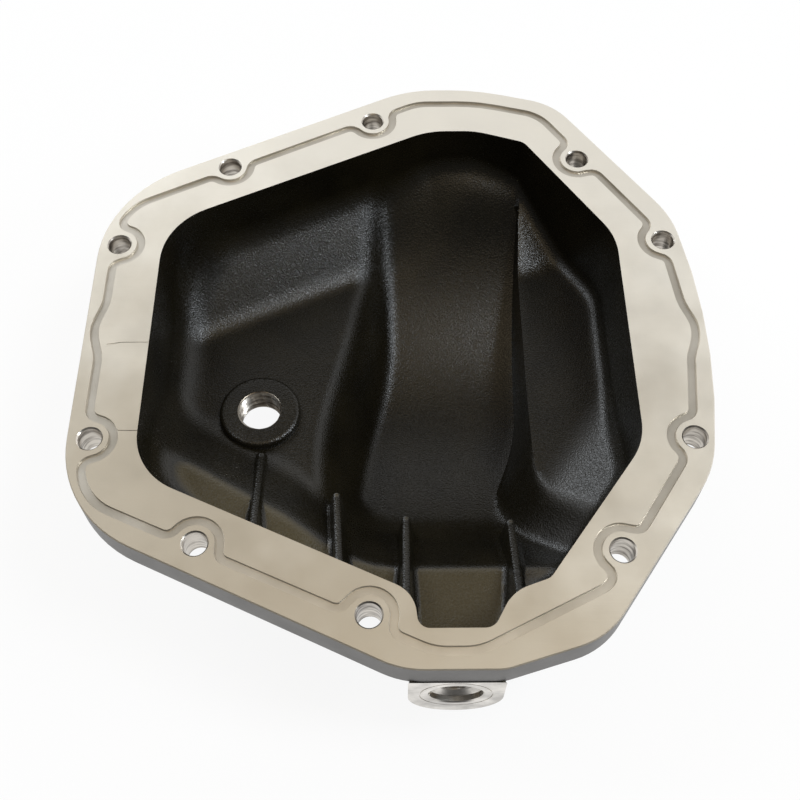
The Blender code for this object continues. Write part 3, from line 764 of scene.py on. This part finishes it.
def fill_boss():
    bm = bmesh.new()
    radius = FILL_BOSS_DIAMETER / 2
    bottom = (*FILL_CENTRE, -FILL_BOSS_TOP_DEPTH - FILL_BOSS_LENGTH)
    profile = [(0, radius - FILL_FACE_EDGE), (FILL_FACE_EDGE, radius)]
    for angle in BOSS_EDGE_ANGLES:
        out = FILL_BOSS_EDGE * (1 - math.cos(math.radians(angle)))
        up = FILL_BOSS_EDGE * (1 - math.sin(math.radians(angle)))
        profile.append((FILL_BOSS_LENGTH - up, radius - out))
    turned(bm, bottom, (0, 0, 1), profile)
    return finished("fill_boss", bm)


def fill_bore():
    bm = bmesh.new()
    bore = FILL_BORE_DIAMETER / 2 + THREAD_HEIGHT
    mouth = max(FILL_MOUTH_DIAMETER / 2, bore)
    low = (*FILL_CENTRE, -FILL_BOSS_TOP_DEPTH - FILL_BOSS_LENGTH - OVERLAP)
    profile = [
        (0, mouth),
        (OVERLAP, mouth),
        (OVERLAP + mouth - bore, bore),
        (OVERLAP + FILL_BOSS_LENGTH - mouth + bore, bore),
        (OVERLAP + FILL_BOSS_LENGTH, mouth),
        (2 * OVERLAP + FILL_BOSS_LENGTH, mouth),
    ]
    turned(bm, low, (0, 0, 1), profile)
    return finished("fill_bore", bm)


def drain_face_y():
    return FLANGE_LOWER_Y - DRAIN_FACE_PROUD


def drain_boss():
    """Boss around the notch, with a flat front and a round bottom."""
    half = DRAIN_BOSS_WIDTH / 2
    top = -FLANGE_THICKNESS + FLANGE_EDGE_BREAK
    corners = [
        (DRAIN_X - half, top, DRAIN_CORNER),
        (DRAIN_X - half, -DRAIN_BOSS_BOTTOM_DEPTH, half - DRAIN_CORNER),
        (DRAIN_X + half, -DRAIN_BOSS_BOTTOM_DEPTH, half - DRAIN_CORNER),
        (DRAIN_X + half, top, DRAIN_CORNER),
    ]
    back = PAN_LOWER_Y + 2 * WALL
    front = drain_face_y()
    bm = bmesh.new()
    outline = rounded_polygon(corners)
    inset = outline + outward_normals(outline) * DRAIN_CORNER
    levels = [(inset, front), (outline, front + DRAIN_CORNER), (outline, back)]
    bridged(bm, [[(x, y, z) for x, z in ring] for ring, y in levels])
    return finished("drain_boss", bm)


def drain_bore():
    bm = bmesh.new()
    bore = DRAIN_BORE_DIAMETER / 2 + THREAD_HEIGHT
    mouth = DRAIN_MOUTH_DIAMETER / 2
    front = drain_face_y()
    length = NOTCH_Y - front + OVERLAP
    profile = [
        (-OVERLAP, mouth + DRAIN_CORNER),
        (0, mouth + DRAIN_CORNER),
        (DRAIN_CORNER, mouth),
        (DRAIN_MOUTH_DEPTH, mouth),
        (DRAIN_MOUTH_DEPTH + mouth - bore, bore),
        (length, bore),
    ]
    turned(bm, (DRAIN_X, front, -DRAIN_DEPTH), (0, 1, 0), profile)
    return finished("drain_bore", bm)


def drain_ring():
    """Shallow round step that the facing cutter leaves round the drain hole."""
    bm = bmesh.new()
    radius = DRAIN_RING_DIAMETER / 2
    front = drain_face_y()
    profile = [
        (-DRAIN_RING_DEPTH, radius),
        (DRAIN_RING_DEPTH, radius),
        (DRAIN_RING_DEPTH, radius - DRAIN_RING_WIDTH),
        (-DRAIN_RING_DEPTH, radius - DRAIN_RING_WIDTH),
    ]
    turned(bm, (DRAIN_X, front, -DRAIN_DEPTH), (0, 1, 0), profile, closed=True)
    return finished("drain_ring", bm)


def bolt_centres():
    return [(x, side * y) for x, y in BOLT_PAIRS for side in (1, -1)]


def bolt_holes():
    bm = bmesh.new()
    radius = BOLT_HOLE_DIAMETER / 2
    wide = radius + BOLT_HOLE_CHAMFER
    for x, y in bolt_centres():
        low = (x, y, -FLANGE_THICKNESS - OVERLAP)
        profile = [
            (0, radius),
            (OVERLAP + FLANGE_THICKNESS - BOLT_HOLE_CHAMFER, radius),
            (OVERLAP + FLANGE_THICKNESS, wide),
            (FLANGE_THICKNESS + 2 * OVERLAP, wide),
        ]
        turned(bm, low, (0, 0, 1), profile)
    return finished("bolt_holes", bm)


def swing(along, reach):
    """Share of a side step at a distance along the path from its middle."""
    return 0.5 * (1 + math.cos(math.pi * min(abs(along) / reach, 1)))


def past_bolt(across, base):
    """Distance inside a bolt at which the groove runs: an arc round it, between two soft bends."""
    turn = GROOVE_BOLT_RADIUS + GROOVE_BEND_RADIUS
    if base + GROOVE_BEND_RADIUS >= turn:
        return base
    end = math.sqrt(turn**2 - (base + GROOVE_BEND_RADIUS) ** 2)
    if abs(across) >= end:
        return base
    if abs(across) < end * GROOVE_BOLT_RADIUS / turn:
        return math.sqrt(GROOVE_BOLT_RADIUS**2 - across**2)
    return base + GROOVE_BEND_RADIUS - math.sqrt(GROOVE_BEND_RADIUS**2 - (end - abs(across)) ** 2)


def groove_path():
    """Centreline of the seal groove."""
    base = spaced(rounded_polygon(GROOVE_OUTLINE), GROOVE_SPACING)
    normals = outward_normals(base)
    path = []
    for point, normal in zip(base, normals):
        push = 0.0
        for bolt in bolt_centres():
            offset = np.array(bolt) - point
            across = normal[0] * offset[1] - normal[1] * offset[0]
            inside = float(offset @ normal)
            if abs(inside) < GROOVE_BOLT_RADIUS:
                push -= past_bolt(across, inside) - inside
        for flank in GROOVE_FLANKS:
            reach = float(np.linalg.norm(np.array(flank) - point))
            push += GROOVE_FLANK_PUSH * swing(reach, GROOVE_FLANK_SWING)
        path.append(point + normal * push)
    return np.array(path)


def groove():
    """Cutter for the seal groove: drafted walls and a flat floor."""
    path = groove_path()
    normals = outward_normals(path)
    rim = GROOVE_WIDTH / 2
    foot = GROOVE_FLOOR_WIDTH / 2
    side = [(rim, OVERLAP), (rim, 0.0), (foot, -GROOVE_DEPTH)]
    section = side + [(-out, z) for out, z in reversed(side)]
    bm = bmesh.new()
    rings = [[(x, y, z) for x, y in path + normals * out] for out, z in section]
    bridged(bm, rings, closed=True)
    return finished("groove", bm)


def scribes():
    """Cutter for the scribed lines: a small V along each."""
    bm = bmesh.new()
    half = SCRIBE_WIDTH / 2
    for line in SCRIBES:
        for start, end in zip(line, line[1:]):
            run = (Vector(end) - Vector(start)).normalized()
            side = Vector((-run.y, run.x)) * half
            corners = [Vector(start) + side, Vector(start), Vector(start) - side]
            depths = [SCRIBE_DEPTH, -SCRIBE_DEPTH, SCRIBE_DEPTH]
            section = [(p.x, p.y, z) for p, z in zip(corners, depths)]
            prism(bm, section, (*(Vector(end) - Vector(start)), 0))
    return finished("scribes", bm)


def thread_ring(crest, along):
    """Ring round the inside of a thread, whose radius follows the screw."""
    ring = []
    for k in range(HOLE_SEGMENTS):
        phase = (along / THREAD_PITCH + k / HOLE_SEGMENTS) % 1
        radius = crest + THREAD_HEIGHT * min(abs(2 * phase - 1) * THREAD_FLANK, 1.0)
        angle = 2 * math.pi * k / HOLE_SEGMENTS
        ring.append(Vector((radius * math.cos(angle), radius * math.sin(angle), along)))
    return ring


def thread(name, start, axis, length, crest):
    """Sleeve with a screw thread inside, set into the wall of a bore."""
    back = crest + THREAD_HEIGHT + THREAD_SLEEVE
    levels = round(length / THREAD_PITCH * THREAD_STEPS)
    rings = [thread_ring(crest, length * level / levels) for level in range(levels + 1)]
    rings += [circle(back, length), circle(back, 0)]
    bm = bmesh.new()
    bridged(bm, placed(rings, start, axis), closed=True)
    return finished(name, bm)


def plain(name, colour, metallic, roughness):
    material = bpy.data.materials.new(name)
    material.use_nodes = True
    surface = material.node_tree.nodes["Principled BSDF"]
    surface.inputs["Base Color"].default_value = (*colour, 1)
    surface.inputs["Metallic"].default_value = metallic
    surface.inputs["Roughness"].default_value = roughness
    return material


def maths(tree, operation, *values):
    """Result of a sum on values, each a socket or a number."""
    node = tree.nodes.new("ShaderNodeMath")
    node.operation = operation
    for socket, value in zip(node.inputs, values):
        if isinstance(value, bpy.types.NodeSocket):
            tree.links.new(value, socket)
        else:
            socket.default_value = value
    return node.outputs[0]


def coordinates(tree, kind="Object"):
    return tree.nodes.new("ShaderNodeTexCoord").outputs[kind]


def ranged(tree, value, before, after, interpolation="LINEAR"):
    """The value with one range mapped to another."""
    mapped = tree.nodes.new("ShaderNodeMapRange")
    mapped.interpolation_type = interpolation
    mapped.inputs["From Min"].default_value = before[0]
    mapped.inputs["From Max"].default_value = before[1]
    mapped.inputs["To Min"].default_value = after[0]
    mapped.inputs["To Max"].default_value = after[1]
    tree.links.new(value, mapped.inputs["Value"])
    return mapped.outputs["Result"]


def noise(material, scale, detail=3.0, stretch=(1, 1, 1)):
    """Noise in the object's own coordinates."""
    tree = material.node_tree
    shape = tree.nodes.new("ShaderNodeMapping")
    shape.inputs["Scale"].default_value = stretch
    pattern = tree.nodes.new("ShaderNodeTexNoise")
    pattern.inputs["Scale"].default_value = scale
    pattern.inputs["Detail"].default_value = detail
    tree.links.new(coordinates(tree), shape.inputs["Vector"])
    tree.links.new(shape.outputs["Vector"], pattern.inputs["Vector"])
    return pattern.outputs["Fac"]


def cells(material, scale):
    """Small rounded cells in the object's own coordinates."""
    tree = material.node_tree
    pattern = tree.nodes.new("ShaderNodeTexVoronoi")
    pattern.inputs["Scale"].default_value = scale
    tree.links.new(coordinates(tree), pattern.inputs["Vector"])
    return pattern.outputs["Distance"]


def coloured(material, value, stops):
    """Base colour that follows a value through colour stops."""
    tree = material.node_tree
    ramp = tree.nodes.new("ShaderNodeValToRGB")
    elements = ramp.color_ramp.elements
    elements[0].position, elements[0].color = stops[0][0], (*stops[0][1], 1)
    elements[1].position, elements[1].color = stops[1][0], (*stops[1][1], 1)
    tree.links.new(value, ramp.inputs["Fac"])
    tree.links.new(ramp.outputs["Color"], tree.nodes["Principled BSDF"].inputs["Base Color"])


def leaning(material, value, share, slope, offset):
    """A share of the value, plus a gentle drift along the object's own x, y and z."""
    tree = material.node_tree
    drift = tree.nodes.new("ShaderNodeVectorMath")
    drift.operation = "DOT_PRODUCT"
    drift.inputs[1].default_value = slope
    tree.links.new(coordinates(tree), drift.inputs[0])
    scaled = maths(tree, "MULTIPLY_ADD", value, share, drift.outputs["Value"])
    return maths(tree, "ADD", scaled, offset)


def painted_light_mask(material):
    """Mask of painted light: 1 on the level ground near the top of the pan, 0 on deep and steep
    ground.
    """
    tree = material.node_tree
    parts = tree.nodes.new("ShaderNodeSeparateXYZ")
    shape = tree.nodes.new("ShaderNodeNewGeometry")
    turned_up = tree.nodes.new("ShaderNodeSeparateXYZ")
    tree.links.new(coordinates(tree), parts.inputs["Vector"])
    tree.links.new(shape.outputs["Normal"], turned_up.inputs["Vector"])
    high = ranged(tree, parts.outputs["Z"], (FACE_Z - PAINTED_LIGHT_DEPTH, FACE_Z - SHELF_DEPTH), (0, 1))
    level = ranged(tree, turned_up.outputs["Z"], PAINTED_LIGHT_LEVEL, (0, 1))
    return maths(tree, "MULTIPLY", high, level)


def roughened(material, value, low, high):
    tree = material.node_tree
    rough = ranged(tree, value, NOISE_MIDDLE, (low, high))
    tree.links.new(rough, tree.nodes["Principled BSDF"].inputs["Roughness"])


def bumped(material, layers):
    """Stacked bumps: (height value, strength, distance) each."""
    tree = material.node_tree
    below = None
    for value, strength, distance in layers:
        bump = tree.nodes.new("ShaderNodeBump")
        bump.inputs["Strength"].default_value = strength
        bump.inputs["Distance"].default_value = distance
        tree.links.new(value, bump.inputs["Height"])
        if below:
            tree.links.new(below, bump.inputs["Normal"])
        below = bump.outputs["Normal"]
    tree.links.new(below, tree.nodes["Principled BSDF"].inputs["Normal"])


def milled_face():
    """Face-milled aluminium: pale, satin, with soft stains, a painted shade that turns it tan towards
    the front and left, and a fine lay.
    """
    material = plain("milled_face", FACE_LIGHT, 0.7, 0.44)
    # Painted shade: the drift along x and y turns the face tan towards the front and left, and pale
    # towards the back and right
    stain_and_painted_shade = leaning(material, noise(material, 26, 4), 0.5, (0.8, 2.2, 0), 0.27)
    coloured(material, stain_and_painted_shade, [(0.25, FACE_TAN_AND_SHADE), (0.75, FACE_LIGHT)])
    roughened(material, noise(material, 60, 5), 0.40, 0.50)
    lay = noise(material, 900, 2, (0.08, 1, 1))
    bumped(material, [(lay, 0.10, 0.0002), (noise(material, 350, 3), 0.05, 0.0003)])
    return material


def cut_groove():
    """Bright cut floor and walls of the seal groove."""
    material = plain("cut_groove", GROOVE_TAN, 0.8, 0.34)
    coloured(material, noise(material, 40, 4), [(0.3, GROOVE_TAN), (0.7, GROOVE_PALE)])
    bumped(material, [(noise(material, 500, 2), 0.08, 0.0002)])
    return material


def satin_edge():
    """Sides and underside of the flange: darker grey metal with a fine texture."""
    material = plain("satin_edge", EDGE_GREY, 0.7, 0.42)
    coloured(material, noise(material, 70, 4), [(0.3, EDGE_DARK), (0.7, EDGE_GREY)])
    bumped(material, [(noise(material, 700, 3), 0.15, 0.0002)])
    return material


def black_casting():
    """Sand-cast surface under a dark semi-gloss coating, with a random brown tone and painted light
    that turns level ground near the top of the pan brighter brown.
    """
    material = plain("black_casting", COAT_BLACK, 0.0, 0.30)
    tree = material.node_tree
    tree.nodes["Principled BSDF"].inputs["Specular IOR Level"].default_value = 0.4
    # Painted light: level ground near the top of the pan turns brighter brown, over a random brown
    # tone
    tone_and_painted_light = maths(tree, "MULTIPLY_ADD", noise(material, 40, 5), 0.25, painted_light_mask(material))
    coloured(material, tone_and_painted_light, [(0.08, COAT_BLACK), (1.0, COAT_BROWN)])
    roughened(material, noise(material, 1000, 2), 0.20, 0.36)
    grain = cells(material, 1300)
    bumped(material, [(noise(material, 800, 2), 0.25, 0.0002), (grain, 0.4, 0.0003)])
    return material


def bright_bore():
    """Drilled bores, the fill thread and the scribed lines."""
    material = plain("bright_bore", BORE_GREY, 1.0, 0.28)
    streaks = noise(material, 500, 3, (0.2, 0.2, 1))
    coloured(material, streaks, [(0.35, BORE_DARK), (0.6, BORE_GREY)])
    bumped(material, [(noise(material, 900, 2, (0.1, 0.1, 1)), 0.15, 0.0002)])
    return material


def bare_face():
    """Spot-faced front of the drain boss, and its bore and thread."""
    material = plain("bare_face", BARE_BRIGHT, 1.0, 0.30)
    coloured(material, noise(material, 120, 5), [(0.35, BARE_DULL), (0.65, BARE_BRIGHT)])
    bumped(material, [(noise(material, 600, 3), 0.08, 0.0002)])
    return material


def painted(obj, *materials):
    obj.data.materials.clear()
    for material in materials:
        obj.data.materials.append(material)
    return obj


def edge_banded(obj, side):
    """Give the sides and the underside of a piece their own material."""
    obj.data.materials.append(side)
    for face in obj.data.polygons:
        if face.normal.z < FACING_SHARE:
            face.material_index = 1
    return obj


def front_faced(obj, front):
    """Give the faces that look along -Y their own material."""
    obj.data.materials.append(front)
    for face in obj.data.polygons:
        if face.normal.y < -FACING_SHARE:
            face.material_index = 1
    return obj


def riding(obj):
    """Shade a piece, lift it to its height and tie it to the cover's body."""
    obj.data.transform(Matrix.Translation((0, 0, FACE_Z)))
    obj.data.shade_smooth()
    obj.data.set_sharp_from_angle(angle=SHARP_ANGLE)
    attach(obj, "root")


def cover():
    """The whole casting, with its finish by region."""
    face = milled_face()
    black = black_casting()
    bright = bright_bore()
    bare = bare_face()
    body = edge_banded(painted(flange(), face), satin_edge())
    combine(body, painted(groove(), cut_groove()), "DIFFERENCE")
    combine(body, painted(scribes(), bright), "DIFFERENCE", "MANIFOLD")
    combine(body, painted(shell(), black), "UNION")
    combine(body, front_faced(painted(drain_boss(), black), bare), "UNION")
    combine(body, painted(core(), black), "DIFFERENCE")
    combine(body, painted(ribs(), black), "UNION", "MANIFOLD")
    combine(body, painted(fill_boss(), black), "UNION")
    combine(body, painted(fill_bore(), bright), "DIFFERENCE")
    combine(body, painted(drain_bore(), bare), "DIFFERENCE")
    combine(body, painted(drain_ring(), bare), "DIFFERENCE")
    combine(body, painted(bolt_holes(), bright), "DIFFERENCE")
    riding(body)
    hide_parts("differential_cover")
    threads(bright, bare)


def threads(bright, bare):
    """Screw threads of the fill hole and the drain hole."""
    start = (*FILL_CENTRE, -FILL_BOSS_TOP_DEPTH - FILL_BOSS_LENGTH + FACE_LIFT)
    length = FILL_BOSS_LENGTH - 2 * FACE_LIFT
    fill = thread("fill_thread", start, (0, 0, 1), length, FILL_BORE_DIAMETER / 2)
    riding(painted(fill, bright))
    start = (DRAIN_X, drain_face_y() + DRAIN_THREAD_START, -DRAIN_DEPTH)
    length = NOTCH_Y - start[1] - DRAIN_THREAD_END
    drain = thread("drain_thread", start, (0, 1, 0), length, DRAIN_BORE_DIAMETER / 2)
    riding(painted(drain, bare))


def studio_white(tree, shader):
    """White to the camera and in reflections, mixed so that shadows still show."""
    path = tree.nodes.new("ShaderNodeLightPath").outputs
    seen = maths(tree, "MAXIMUM", path["Is Camera Ray"], path["Is Glossy Ray"])
    seen = maths(tree, "MAXIMUM", seen, path["Is Transmission Ray"])
    glow = tree.nodes.new("ShaderNodeEmission")
    glow.inputs["Color"].default_value = (1, 1, 1, 1)
    glow.inputs["Strength"].default_value = 1.0
    mix = tree.nodes.new("ShaderNodeMixShader")
    tree.links.new(maths(tree, "MULTIPLY", seen, WHITE_SHARE), mix.inputs["Fac"])
    tree.links.new(shader.outputs[0], mix.inputs[1])
    tree.links.new(glow.outputs[0], mix.inputs[2])
    return mix


def floor():
    bpy.ops.mesh.primitive_plane_add(size=FLOOR_SIZE, location=(0, 0, 0))
    obj = bpy.context.object
    obj.name = "floor"
    material = plain("floor_white", FLOOR_COLOUR, 0, 0.9)
    tree = material.node_tree
    mix = studio_white(tree, tree.nodes["Principled BSDF"])
    tree.links.new(mix.outputs[0], tree.nodes["Material Output"].inputs["Surface"])
    painted(obj, material)


def camera():
    data = bpy.data.cameras.new("camera")
    data.lens = CAMERA_LENS
    data.sensor_width = CAMERA_SENSOR
    obj = bpy.data.objects.new("camera", data)
    x, y, height = CAMERA_PLACE
    obj.location = (x, y, FACE_Z + height)
    obj.rotation_euler = (CAMERA_TILT, 0, CAMERA_TURN)
    bpy.context.collection.objects.link(obj)
    bpy.context.scene.camera = obj


def lamp(name, place, size, power, colour):
    data = bpy.data.lights.new(name, "AREA")
    data.shape = "RECTANGLE"
    data.size = size[0]
    data.size_y = size[1]
    data.energy = power
    data.color = colour
    obj = bpy.data.objects.new(name, data)
    obj.location = place
    obj.rotation_euler = (Vector((0, 0, FACE_Z)) - Vector(place)).to_track_quat("-Z", "Y").to_euler()
    bpy.context.collection.objects.link(obj)


def backdrop():
    """World light: a pale wall behind the cover that fades upwards, and white to the camera."""
    world = bpy.data.worlds.new("studio")
    world.use_nodes = True
    tree = world.node_tree
    background = tree.nodes["Background"]
    background.inputs["Color"].default_value = (1, 1, 1, 1)
    parts = tree.nodes.new("ShaderNodeSeparateXYZ")
    tree.links.new(coordinates(tree, "Generated"), parts.inputs["Vector"])
    low = ranged(tree, parts.outputs["Z"], WALL_FADE, (1.0, 0.0), "SMOOTHSTEP")
    behind = ranged(tree, parts.outputs["Y"], WALL_START, (WALL_FRONT, 1.0), "SMOOTHSTEP")
    wall = maths(tree, "MULTIPLY", low, behind)
    level = maths(tree, "MULTIPLY_ADD", wall, WALL_LIGHT, ROOM_LIGHT)
    path = tree.nodes.new("ShaderNodeLightPath").outputs
    seen = maths(tree, "MAXIMUM", level, path["Is Camera Ray"])
    tree.links.new(seen, background.inputs["Strength"])
    bpy.context.scene.world = world


def lights():
    lamp("over", (0, -0.32, 1.30), (1.0, 0.9), 2.8, WARM)
    lamp("top", (0, 0.26, 1.50), (0.8, 0.4), 0.7, WARM)
    lamp("key", (0.72, -0.20, 1.38), (0.4, 0.4), 9.5, COOL)
    lamp("right", (1.25, -0.30, 0.85), (0.3, 0.3), 6, COOL)
    lamp("left", (-0.92, 0.30, 1.24), (0.45, 0.45), 3.5, COOL)
    lamp("back", (-0.65, 1.10, 0.58), (0.6, 0.4), 4.5, COOL)
    backdrop()


cover()
floor()
camera()
lights()
bpy.context.scene.view_settings.view_transform = "Standard"
